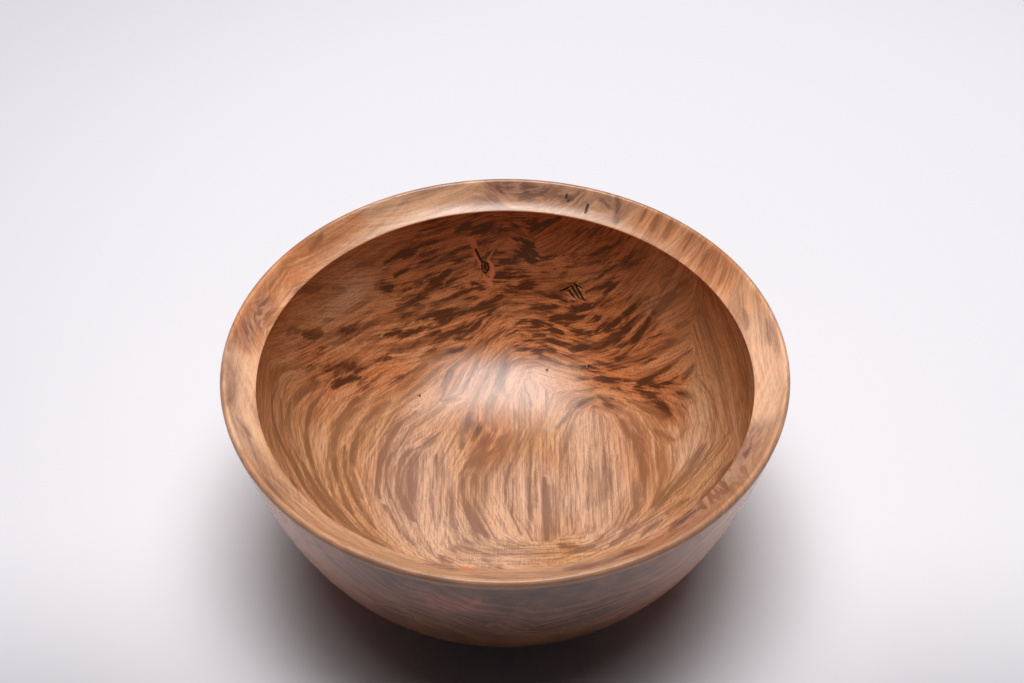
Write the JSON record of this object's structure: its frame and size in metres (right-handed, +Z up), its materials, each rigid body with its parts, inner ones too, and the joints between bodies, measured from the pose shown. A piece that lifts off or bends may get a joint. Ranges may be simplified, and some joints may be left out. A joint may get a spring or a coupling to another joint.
{
  "type": "turned wooden bowl",
  "caption": "Round turned wooden bowl with a wide inward-sloping rim, an undercut round interior and a small turned foot.",
  "frame": {"origin": "centre of the foot, on the plane the bowl stands on", "axes": "+Z up along the turning axis; the bowl is round, and the wood grain runs along Y"},
  "size_m": [0.25, 0.25, 0.114],
  "materials": {
    "figured_wood": "satin oil over figured, brown-marbled hardwood"
  },
  "bodies": {
    "root": {"bowl": "figured_wood"}
  },
  "joints": []
}
